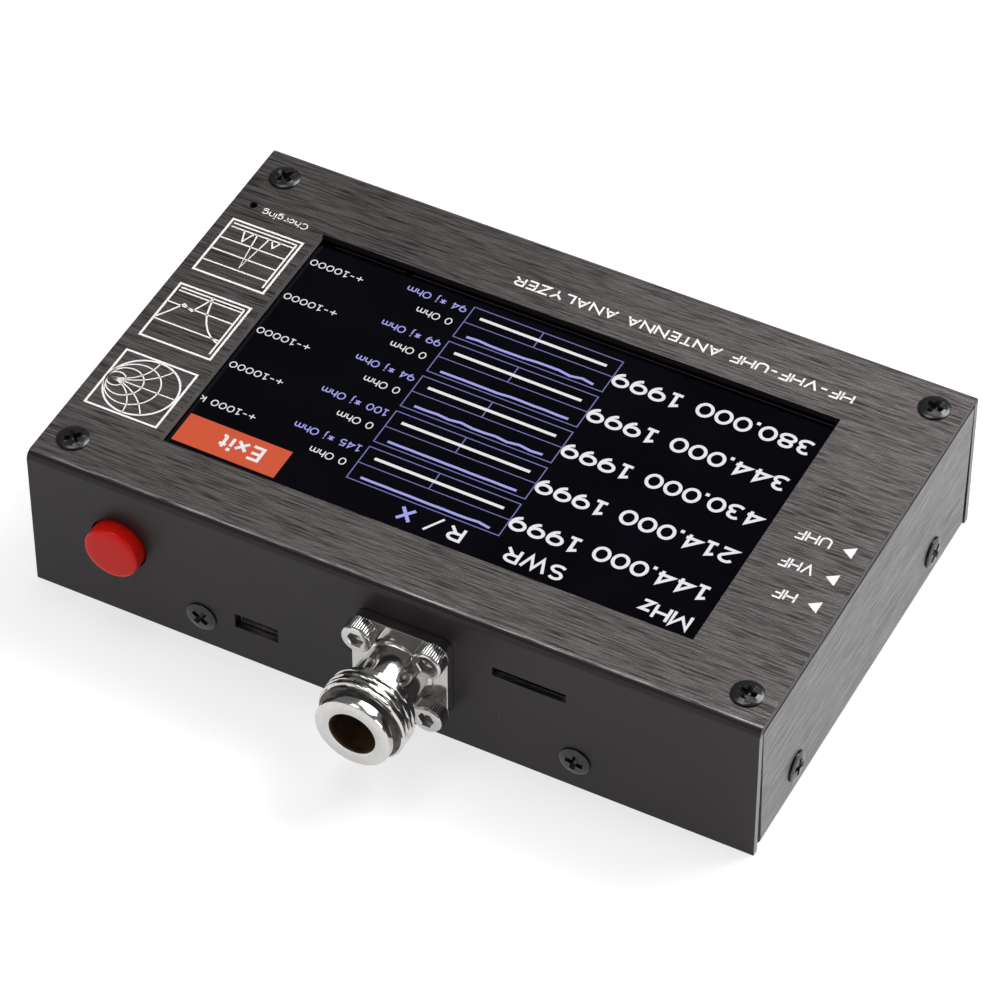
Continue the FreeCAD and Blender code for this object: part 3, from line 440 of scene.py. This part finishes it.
# The gap between letters, and each letter's width and strokes, as shares of a capital's height
SPACE = 0.22
GLYPHS = {
    " ": (0.30, []),
    ".": (0.06, [[(0.03, 0.02)]]),
    "-": (0.42, [[(0.02, 0.42), (0.40, 0.42)]]),
    "+": (0.66, [[(0.0, 0.42), (0.66, 0.42)], [(0.33, 0.0), (0.33, 0.84)]]),
    "/": (0.50, [[(0.0, -0.16), (0.5, 1.06)]]),
    "*": (0.56, [[(0.02, 0.28), (0.54, 0.80)], [(0.02, 0.80), (0.54, 0.28)], [(0.28, 0.90), (0.28, 0.18)]]),
    "0": (0.62, [loop(0.31, 0.5, 0.31, 0.5)]),
    "1": (0.50, [[(0.02, 0.80), (0.28, 1.0), (0.28, 0.0)], [(0.04, 0.0), (0.50, 0.0)]]),
    "2": (0.58, [bow(0.29, 0.72, 0.27, 0.28, 160, -25, 10) + [(0.0, 0.0), (0.58, 0.0)]]),
    "3": (0.56, [bow(0.25, 0.74, 0.25, 0.26, 140, -90, 9), bow(0.25, 0.25, 0.30, 0.26, 90, -140, 10)]),
    "4": (0.64, [[(0.50, 0.0), (0.50, 1.0), (0.0, 0.28), (0.64, 0.28)]]),
    "5": (0.56, [[(0.52, 1.0), (0.08, 1.0), (0.04, 0.54)] + bow(0.26, 0.31, 0.29, 0.31, 110, -140, 10)]),
    "8": (0.60, [loop(0.30, 0.75, 0.25, 0.25), loop(0.30, 0.26, 0.30, 0.26)]),
    "9": (0.60, [loop(0.30, 0.67, 0.30, 0.33), bow(0.16, 0.55, 0.44, 0.56, 15, -75, 8)]),
    "A": (0.72, [[(0.0, 0.0), (0.36, 1.0), (0.72, 0.0)], [(0.13, 0.32), (0.59, 0.32)]]),
    "E": (0.52, [[(0.52, 1.0), (0.0, 1.0), (0.0, 0.0), (0.52, 0.0)], [(0.0, 0.52), (0.46, 0.52)]]),
    "F": (0.50, [[(0.50, 1.0), (0.0, 1.0), (0.0, 0.0)], [(0.0, 0.50), (0.44, 0.50)]]),
    "H": (0.66, [[(0.0, 0.0), (0.0, 1.0)], [(0.66, 0.0), (0.66, 1.0)], [(0.0, 0.52), (0.66, 0.52)]]),
    "L": (0.50, [[(0.0, 1.0), (0.0, 0.0), (0.50, 0.0)]]),
    "M": (0.80, [[(0.0, 0.0), (0.0, 1.0), (0.40, 0.25), (0.80, 1.0), (0.80, 0.0)]]),
    "N": (0.68, [[(0.0, 0.0), (0.0, 1.0), (0.68, 0.0), (0.68, 1.0)]]),
    "O": (0.74, [loop(0.37, 0.5, 0.37, 0.5)]),
    "R": (0.60, [[(0.0, 0.0), (0.0, 1.0), (0.28, 1.0)] + bow(0.28, 0.74, 0.27, 0.26, 80, -80, 8)
                 + [(0.0, 0.48)], [(0.28, 0.48), (0.60, 0.0)]]),
    "S": (0.58, [bow(0.29, 0.74, 0.26, 0.26, 35, 262, 10) + bow(0.29, 0.25, 0.29, 0.25, 82, -145, 10)]),
    "T": (0.62, [[(0.0, 1.0), (0.62, 1.0)], [(0.31, 1.0), (0.31, 0.0)]]),
    "U": (0.64, [[(0.0, 1.0)] + bow(0.32, 0.33, 0.32, 0.33, 180, 360, 10) + [(0.64, 1.0)]]),
    "V": (0.70, [[(0.0, 1.0), (0.35, 0.0), (0.70, 1.0)]]),
    "W": (1.00, [[(0.0, 1.0), (0.25, 0.0), (0.50, 0.92), (0.75, 0.0), (1.0, 1.0)]]),
    "X": (0.66, [[(0.0, 1.0), (0.66, 0.0)], [(0.66, 1.0), (0.0, 0.0)]]),
    "Y": (0.66, [[(0.0, 1.0), (0.33, 0.48), (0.66, 1.0)], [(0.33, 0.48), (0.33, 0.0)]]),
    "Z": (0.62, [[(0.0, 1.0), (0.60, 1.0), (0.0, 0.0), (0.62, 0.0)]]),
    "a": (0.50, [loop(0.25, 0.33, 0.25, 0.33), [(0.50, 0.68), (0.50, 0.0)]]),
    "C": (0.66, [bow(0.37, 0.5, 0.37, 0.5, 45, 315, 14)]),
    "g": (0.50, [loop(0.25, 0.33, 0.25, 0.33),
                 [(0.50, 0.68), (0.50, -0.08)] + bow(0.25, -0.08, 0.25, 0.22, 0, -140, 6)]),
    "h": (0.48, [[(0.0, 1.05), (0.0, 0.0)], bow(0.24, 0.42, 0.24, 0.26, 180, 0, 8) + [(0.48, 0.0)]]),
    "i": (0.06, [[(0.03, 0.68), (0.03, 0.0)], [(0.03, 0.96)]]),
    "j": (0.20, [[(0.16, 0.68), (0.16, -0.08)] + bow(0.0, -0.08, 0.16, 0.16, -20, -90, 3), [(0.16, 0.96)]]),
    "k": (0.46, [[(0.0, 1.05), (0.0, 0.0)], [(0.42, 0.68), (0.02, 0.30)], [(0.14, 0.40), (0.46, 0.0)]]),
    "m": (0.80, [[(0.0, 0.68), (0.0, 0.0)], bow(0.20, 0.46, 0.20, 0.22, 180, 0, 6) + [(0.40, 0.0)],
                 bow(0.60, 0.46, 0.20, 0.22, 180, 0, 6) + [(0.80, 0.0)]]),
    "n": (0.46, [[(0.0, 0.68), (0.0, 0.0)], bow(0.23, 0.44, 0.23, 0.24, 180, 0, 8) + [(0.46, 0.0)]]),
    "r": (0.32, [[(0.0, 0.68), (0.0, 0.0)], bow(0.22, 0.42, 0.22, 0.26, 180, 75, 6)]),
    "t": (0.32, [[(0.12, 0.94), (0.12, 0.14)] + bow(0.26, 0.14, 0.14, 0.14, 200, 285, 4),
                 [(-0.04, 0.68), (0.30, 0.68)]]),
    "x": (0.50, [[(0.0, 0.68), (0.50, 0.0)], [(0.50, 0.68), (0.0, 0.0)]]),
    "z": (0.46, [[(0.0, 0.68), (0.44, 0.68), (0.0, 0.0), (0.46, 0.0)]]),
}


def ring_solid(rings, closed=False):
    """Points and faces of a skin over rings of equal count. closed joins the last ring to the first."""
    count = len(rings[0])
    points = [p for ring in rings for p in ring]
    faces = []
    pairs = list(zip(range(len(rings)), range(1, len(rings))))
    if closed:
        pairs.append((len(rings) - 1, 0))
    for a, b in pairs:
        for i in range(count):
            j = (i + 1) % count
            faces.append((a * count + i, a * count + j, b * count + j, b * count + i))
    if not closed:
        faces.append(tuple(reversed(range(count))))
        faces.append(tuple(range((len(rings) - 1) * count, len(rings) * count)))
    return points, faces


def turned_point(origin, axis, radius, angle, height):
    """A point around an axis through origin, in metres from millimetres."""
    turn = Vector((0, 0, 1)).rotation_difference(Vector(axis))
    local = Vector((radius * math.cos(angle), radius * math.sin(angle), height))
    return (Vector(origin) + turn @ local) * MM


def circle(radius):
    """A round outline."""
    return lambda angle: radius


def hexagon(flats):
    """A hexagonal outline."""
    return lambda angle: flats / 2 / math.cos((angle % (math.pi / 3)) - math.pi / 6)


def knurled(radius, depth, teeth):
    """A round outline with straight grooves."""
    return lambda angle: radius - depth * (0.5 - 0.5 * math.cos(teeth * angle)) ** 2


def cross(length, width):
    """A plus-shaped outline."""
    def reach(angle):
        c = abs(math.cos(angle)) + 1e-9
        s = abs(math.sin(angle)) + 1e-9
        return max(min(length / c, width / s), min(length / s, width / c))
    return reach


def rounded_square(side, corner):
    """A square outline with rounded corners."""
    def reach(angle):
        half = side / 2
        inner = half - corner
        c = abs(math.cos(angle))
        s = abs(math.sin(angle))
        if c * inner >= s * half or s * inner >= c * half:
            return half / max(c, s)
        dot = (c + s) * inner
        return dot + math.sqrt(max(0.0, dot * dot - 2 * inner * inner + corner * corner))
    return reach


def lathe(origin, axis, profile, count=96):
    """Rings for (outline, height) pairs, each outline a radius or a function of the angle."""
    angles = [2 * math.pi * i / count for i in range(count)]
    rings = []
    for outline, height in profile:
        reach = outline if callable(outline) else circle(outline)
        rings.append([turned_point(origin, axis, reach(a), a, height) for a in angles])
    return rings


def merged(parts):
    """Several (points, faces) joined."""
    points = []
    faces = []
    for new_points, new_faces in parts:
        start = len(points)
        points += new_points
        faces += [tuple(start + i for i in face) for face in new_faces]
    return points, faces


# Printing on the top face

labels = Flat(TOP - 0.005, TOP + 0.02)
labels.words("HF-VHF-UHF ANTENNA ANALYZER", 48.7, -14.4, 32.5, 2.25, 0.36)
labels.words("Charging", -51.7, -60.6, 27.2, 1.5, 0.2)
for name, right, baseline in (("HF", 55.4, -12.6), ("VHF", 53.3, -5.9), ("UHF", 53.1, 0.8)):
    labels.words(name, 59.35, right, baseline, 2.4, 0.33)
    middle = baseline - 1.25
    labels.fill([(63.45, middle - 1.33), (63.45, middle + 1.33), (61.45, middle)])

stroke = 0.40
icon_right = -50.55
icon_left = -64.1
for near, far in ((-27.3, -13.5), (-9.3, 4.6), (8.75, 22.65)):
    labels.box(icon_left, icon_right, near, far, stroke)

chart_x = -57.36
chart_y = -20.3
chart_r = 6.45
for resistance in (0.0, 0.355, 1.0, 3.0):
    radius = chart_r / (1 + resistance)
    centre = chart_x - chart_r + radius
    ring = [(centre + radius * math.cos(a), chart_y + radius * math.sin(a))
            for a in (2 * math.pi * i / 48 for i in range(48))]
    labels.line(ring, 0.34 if resistance == 0.0 else 0.23, closed=True)
labels.line([(chart_x - chart_r, chart_y), (chart_x + chart_r, chart_y)], 0.22)
for reactance in (0.6, 1.0):
    radius = 1 / reactance
    rim = 2 * math.atan(radius)
    end = math.atan2(math.sin(rim) - radius, math.cos(rim) - 1)
    if end > 0:
        end -= 2 * math.pi
    for side in (-1, 1):
        arc = []
        for i in range(17):
            angle = -math.pi / 2 + (end + math.pi / 2) * i / 16
            u = 1 + radius * math.cos(angle)
            v = radius + radius * math.sin(angle)
            arc.append((chart_x - chart_r * u, chart_y - side * chart_r * v))
        labels.line(arc, 0.22)


def icon_axes(near, far, levels):
    """The axes and level lines of a small plot."""
    labels.line([(icon_right - 0.75, near + 1.1), (icon_right - 0.75, far - 0.85)], 0.32)
    labels.line([(icon_right - 0.75, far - 0.85), (icon_left + 0.6, far - 0.85)], 0.32)
    for level in levels:
        labels.line([(icon_right - 0.9, level), (icon_left + 0.1, level)], 0.28)


icon_axes(-9.3, 4.6, (-4.75, -0.15))
labels.line([(icon_right - 0.9, 3.0), (icon_left + 0.6, 3.0)], 0.28)
curve = [(-51.4, -5.4), (-52.9, -4.7), (-54.3, -3.5), (-55.4, -2.0), (-56.3, -0.3), (-56.9, 1.8)]
curve += [(-57.3, 3.7), (-58.2, 1.4), (-59.05, -0.55), (-60.2, -0.1), (-61.0, 0.45)]
curve += [(-62.4, -2.0), (-63.9, -4.3)]
labels.line(curve, 0.3)
icon_axes(8.75, 22.65, (11.65, 14.7, 17.75))
labels.line([(icon_right - 0.9, 20.9), (icon_left + 0.6, 20.9)], 0.28)
dips = ((-53.8, -54.6, 19.2, -55.5), (-56.1, -57.25, 12.3, -58.4), (-59.0, -60.0, 18.3, -60.9))
for foot, peak_x, peak_y, end in dips:
    labels.line([(foot, 20.9), (peak_x, peak_y), (end, 20.9)], 0.28)
labels.piece("face_print", print_white, "white_plastic")


# Readings on the display

# The glass's upper face in millimetres, the readings' slant, and the distance between rows
GLASS = 28.1
SHEAR = 0.0125
ROW_PITCH = 9.32
white = Flat(GLASS - 0.005, GLASS + 0.012, SHEAR)
lilac = Flat(GLASS - 0.005, GLASS + 0.011, SHEAR)
grid = Flat(GLASS - 0.005, GLASS + 0.008, SHEAR)
exit_key = Flat(GLASS - 0.005, GLASS + 0.006, SHEAR)
white.words("MHz", 46.3, 37.2, -23.5, 3.5, 0.55)
white.words("SWR", 23.7, 12.7, -23.5, 3.4, 0.55)
white.words("R", 5.3, 2.3, -23.6, 3.35, 0.55)
white.words("/", 1.0, -1.6, -23.6, 3.35, 0.42)
lilac.words("X", -3.9, -6.8, -23.6, 3.35, 0.6)
exit_key.fill([(-28.5, -28.25), (-47.85, -28.3), (-47.85, -21.6), (-28.5, -21.6)])
white.words("Exit", -32.5, -40.8, -23.1, 3.4, 0.6)
rows = (
    ("144.000", 46.2, 25.3, "145 *j Ohm", -31.5, "+-1000 k"),
    ("214.000", 46.4, 25.5, "100 *j Ohm", -31.5, "+-10000"),
    ("430.000", 46.7, 25.5, "94 *j Ohm", -30.1, "+-10000"),
    ("344.000", 46.9, 25.5, "99 *j Ohm", -30.2, "+-10000"),
    ("380.000", 47.1, 25.7, "94 *j Ohm", -30.3, "+-10000"),
)
ripple = (
    (0.12, -0.1, 0.0, 0.02, 0.0, 0.03, 0.02, 0.0, 0.02, 0.0, 0.02, 0.0),
    (0.0, 0.02, 0.0, 0.02, 0.03, 0.0, 0.02, 0.0, 0.02, 0.0, 0.02, 0.0),
    (0.0, 0.1, -0.1, 0.12, -0.05, 0.05, 0.06, -0.12, 0.08, -0.05, 0.02, 0.0),
    (0.0, 0.02, -0.04, 0.0, -0.04, -0.04, 0.1, 0.08, 0.08, 0.06, 0.08, 0.08),
    (0.1, -0.15, 0.12, -0.1, -0.1, -0.08, 0.06, 0.08, 0.1, 0.08, -0.04, 0.06),
)
for index, (megahertz, left, right, reactance, lilac_end, span) in enumerate(rows):
    step = ROW_PITCH * index
    white.words(megahertz, left, right, -16.5 + step, 3.45, 0.6)
    white.words("1999", 23.2, 10.35, -16.8 + step, 3.45, 0.6)
    top = -22.4 + step
    grid.box(-18.0, 10.2, top, top + 7.95, 0.19)
    grid.line([(10.2, top + 3.95), (-18.0, top + 3.95)], 0.17)
    grid.line([(-4.8, top + 3.95), (-4.8, top + 7.95)], 0.2)
    white.line([(8.1, top + 5.85), (-15.9, top + 5.85)], 0.6)
    trace = [(8.1 - 24.0 * i / 11, top + 1.0 - 1.6 * h) for i, h in enumerate(ripple[index])]
    lilac.line(trace, 0.5)
    white.words("0 Ohm", -19.7, -26.5, -18.75 + step, 1.62, 0.2)
    lilac.words(reactance, -18.9, lilac_end, -14.9 + step, 1.62, 0.22)
    white.words(span, -37.8, -48.4 if index == 0 else -48.0, -16.95 + step, 1.5, 0.2)
white.piece("display_white_readings", lit_white, "white_plastic")
lilac.piece("display_lilac_readings", lit_lilac, "white_plastic")
grid.piece("display_grid_lines", lit_line, "white_plastic")
exit_key.piece("display_exit_key", lit_orange, "white_plastic")
# Glowing lines along the window's back edge: a painted highlight.
window_edge_highlight = Flat(GLASS - 0.005, GLASS + 0.006)
window_edge_highlight.line([(48.0, 25.75), (-31.0, 25.75)], 0.14)
window_edge_highlight.line([(-32.5, 25.8), (-46.0, 25.85)], 0.10)
window_edge_highlight.piece("display_window_edge_highlight", window_edge_glow, "white_plastic")


# Push button cap

BUTTON_X = -49.8
BUTTON_Z = 16.0
PROUD = 3.0
profile = [(2.0, -4.5), (4.85, -4.5), (4.99, -4.3), (5.0, 1.5), (5.0, PROUD - 0.8), (4.96, PROUD - 0.52)]
profile += [(4.86, PROUD - 0.34), (4.66, PROUD - 0.21), (4.35, PROUD - 0.14), (3.6, PROUD - 0.09)]
profile += [(2.0, PROUD - 0.05), (0.3, PROUD - 0.04)]
points, faces = ring_solid(lathe((BUTTON_X, FRONT_WALL, BUTTON_Z), (0, -1, 0), profile))
red = finishes["red_plastic"]
cap = add_piece("button_cap_moulding", points, faces, red, True, "button")
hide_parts("button_cap")


# Coil spring between the switch and the cap.

WIRE = 0.2 * MM
SPRING_TURNS = 5
STEPS_PER_TURN = 32
WIRE_SIDES = 12


def coil_spring(low, high):
    """A wound wire that fills the box from low to high, around its length in Y."""
    middle = (Vector(low) + Vector(high)) / 2
    radius = (high[0] - low[0]) / 2 - WIRE
    start = low[1] + WIRE
    climb = high[1] - low[1] - 2 * WIRE
    rings = []
    count = SPRING_TURNS * STEPS_PER_TURN
    for step in range(count + 1):
        angle = 2 * math.pi * step / STEPS_PER_TURN
        outward = Vector((math.cos(angle), 0, math.sin(angle)))
        centre = Vector((middle.x, start + climb * step / count, middle.z)) + outward * radius
        turns = [2 * math.pi * i / WIRE_SIDES for i in range(WIRE_SIDES)]
        rings.append([centre + outward * (WIRE * math.cos(t)) + Vector((0, WIRE * math.sin(t), 0))
                      for t in turns])
    return ring_solid(rings)


low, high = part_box("switch_spring")
points, faces = coil_spring(low, high)
spring_slot = slot_of["switch_spring"]
spring = add_piece("button_return_spring", points, faces, finishes[spring_slot], True)
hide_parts("switch_spring")
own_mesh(spring)


# Antenna socket

SOCKET_X = 3.65
SOCKET_Z = 14.6
NOSE = Vector((SOCKET_X, FRONT_WALL - 18.0, SOCKET_Z))
FLANGE = 2.0
BOLT_OFFSET = 6.35
PITCH = 25.4 / 24
SOCKET_SIDES = 144
BORE_RINGS = 6
THREAD_DEPTHS = (2.4, 7.3)
GROOVE_RADII = (6.3, 7.50)


def thread_radius(angle, depth):
    """The thread's radius at a depth behind the nose."""
    turns = (depth - 2.75) / PITCH - angle / (2 * math.pi)
    share = turns % 1.0
    rise = min(1.0, max(0.0, 2.0 - abs(share - 0.5) * 5.2))
    fade = min(1.0, max(0.0, (depth - 2.7) / 0.4)) * min(1.0, max(0.0, (7.05 - depth) / 0.4))
    return 7.33 + 0.60 * rise * fade


def socket_rings():
    """Rings of the socket body, from the flange's back round the front and down the bore."""
    flange = rounded_square(17.5, 2.0)
    profile = [(5.4, 21.6), (5.4, 18.0), (rounded_square(17.3, 1.9), 18.0), (flange, 17.9), (flange, 16.12)]
    profile += [(rounded_square(17.28, 1.9), 16.0), (6.2, 16.0), (6.15, 15.6)]
    profile += [(5.75, 15.4), (5.6, 15.3), (5.6, 8.8), (6.5, 8.8), (7.1, 8.2), (7.12, 7.25)]
    steps = 44
    for i in range(steps + 1):
        depth = 7.15 - (7.15 - 2.7) * i / steps
        profile.append((lambda angle, d=depth: thread_radius(angle, d), depth))
    profile += [(6.45, 2.6), (6.45, 1.4), (6.80, 1.25), (6.85, 1.18), (6.85, 0.32), (6.78, 0.14)]
    profile += [(6.6, 0.03), (6.5, 0.0), (4.36, 0.0), (4.25, 0.05), (4.08, 0.38), (4.06, 0.5)]
    profile += [(4.06, 9.0), (3.62, 9.0), (3.62, 21.6)]
    return lathe(NOSE, (0, -1, 0), [(o, -d) for o, d in profile], SOCKET_SIDES)


rings = socket_rings()
points, faces = ring_solid(rings, closed=True)
socket = add_piece("antenna_socket", points, faces, finishes["nickel"], True)
bore_shade_and_reflection = plain("painted shade and reflection in the bore", (0.13, 0.085, 0.05), 0.38, 0.6, (260, 260, 260), 0.5, 0.000004)
thread_groove_shade = plain("painted shade in the thread grooves", (0.085, 0.080, 0.078), 0.35, 0.8, (900, 900, 900), 0.4)
socket.data.materials.append(bore_shade_and_reflection)
socket.data.materials.append(thread_groove_shade)
# The bore's rings take a dark brown colour: painted shade and reflection inside the bore.
for index in range((len(rings) - BORE_RINGS) * SOCKET_SIDES, len(rings) * SOCKET_SIDES):
    socket.data.polygons[index].material_index = 1
# Faces at the thread's roots take a dark colour: painted shade in the grooves.
for face in socket.data.polygons:
    middle = face.center / MM - NOSE
    radius = math.hypot(middle.x, middle.z)
    in_thread = THREAD_DEPTHS[0] < middle.y < THREAD_DEPTHS[1]
    if in_thread and GROOVE_RADII[0] < radius < GROOVE_RADII[1]:
        face.material_index = 2
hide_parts("connector_body")

bolt = [(1.45, -8.0), (1.45, 0.0), (2.6, 0.0), (2.72, 0.1)]
grip = knurled(2.75, 0.14, 36)
bolt += [(grip, 0.22), (grip, 2.55), (2.70, 2.68), (2.62, 2.82), (2.45, 2.97)]
bolt += [(2.3, 3.0), (hexagon(2.85), 3.0), (hexagon(2.5), 2.82), (hexagon(2.5), 1.6), (0.2, 1.35)]
heads = []
for x in (-BOLT_OFFSET, BOLT_OFFSET):
    for z in (-BOLT_OFFSET, BOLT_OFFSET):
        seat = (SOCKET_X + x, FRONT_WALL - FLANGE, SOCKET_Z + z)
        heads.append(ring_solid(lathe(seat, (0, -1, 0), bolt, 216)))
points, faces = merged(heads)
bolts = add_piece("socket_bolts", points, faces, finishes["bright_steel"], True)
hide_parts("connector_screws")


# Black screws

def thin_screw(origin, axis, length, turn):
    """A thin-head cross-recess screw."""
    def rotated(outline):
        return lambda angle: outline(angle + turn)
    profile = [(1.45, -length), (1.45, 0.0), (2.66, 0.0), (2.78, 0.06), (2.8, 0.16), (2.76, 0.28)]
    profile += [(2.62, 0.37), (2.3, 0.45), (2.0, 0.51), (rotated(cross(1.66, 0.52)), 0.60)]
    profile += [(rotated(cross(1.58, 0.46)), 0.54), (rotated(cross(1.15, 0.36)), -0.25)]
    profile += [(rotated(cross(0.5, 0.25)), -0.6)]
    return ring_solid(lathe(origin, axis, profile, 144))


screws = []
for x, y, turn in ((-61.3, 35.75, 0.5), (61.3, 35.75, 0.25), (61.3, -35.75, 0.1), (-61.3, -35.75, 0.75)):
    screws.append(thin_screw((x, y, TOP), (0, 0, 1), 4.0, turn))
points, faces = merged(screws)
top_heads = add_piece("top_face_screws", points, faces, finishes["black_steel"], True)
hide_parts("top_screws")
screws = []
for end in (-1, 1):
    for x, turn in ((-34.5, 0.6), (34.5, 0.2)):
        screws.append(thin_screw((x, end * -FRONT_WALL, WALL_SCREW_Z), (0, end, 0), 5.0, turn))
    for y, turn in ((-26.7, 0.35), (26.7, 0.9)):
        screws.append(thin_screw((end * SIDE_WALL, y, WALL_SCREW_Z), (end, 0, 0), 5.0, turn))
points, faces = merged(screws)
wall_heads = add_piece("wall_screws", points, faces, finishes["black_steel"], True)
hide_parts("cover_screws")


# Floor and light

REACH = 4
corners = [(-REACH, -REACH, 0), (REACH, -REACH, 0), (REACH, REACH, 0), (-REACH, REACH, 0)]
floor_mesh = bpy.data.meshes.new("floor")
floor_mesh.from_pydata(corners, [], [(0, 1, 2, 3)])
floor = bpy.data.objects.new("floor", floor_mesh)
bpy.context.scene.collection.objects.link(floor)
floor_material, tree, shader = new_material("pale floor")
shader.inputs["Base Color"].default_value = (0.42, 0.42, 0.42, 1)
shader.inputs["Roughness"].default_value = 0.9
shader.inputs["Specular IOR Level"].default_value = 0.0
path = tree.nodes.new("ShaderNodeLightPath")
seen = product(tree, path.outputs["Is Camera Ray"], path.outputs["Is Glossy Ray"], "MAXIMUM")
seen = product(tree, seen, path.outputs["Is Transmission Ray"], "MAXIMUM")
shader.inputs["Emission Color"].default_value = (1, 1, 1, 1)
tree.links.new(product(tree, seen, 0.69), shader.inputs["Emission Strength"])
floor_mesh.materials.append(floor_material)

world = bpy.data.worlds.new("world")
bpy.context.scene.world = world
world.use_nodes = True
world.node_tree.nodes["Background"].inputs[0].default_value = (1.0, 1.0, 1.0, 1)
world.node_tree.nodes["Background"].inputs[1].default_value = 0.20


def softbox(name, place, size, power, aim_at=(0, 0, 0.015)):
    """A rectangular area lamp, place in metres."""
    data = bpy.data.lights.new(name, "AREA")
    data.shape = "RECTANGLE"
    data.size, data.size_y = size
    data.energy = power
    lamp = bpy.data.objects.new(name, data)
    bpy.context.scene.collection.objects.link(lamp)
    lamp.location = place
    lamp.rotation_euler = (Vector(place) - Vector(aim_at)).to_track_quat("Z", "Y").to_euler()


softbox("back right softbox", (0.58, 0.9, 1.3), (1.0, 0.8), 27)
softbox("sheen on the front right of the top", (-0.08, 0.86, 1.34), (0.3, 0.3), 1.3)
softbox("overhead softbox", (-0.3, 0.1, 1.5), (0.6, 0.5), 5)
softbox("right softbox", (1.6, 0.15, 0.8), (0.6, 0.8), 7)
softbox("front fill", (-0.5, -1.6, 0.5), (1.2, 0.5), 5)
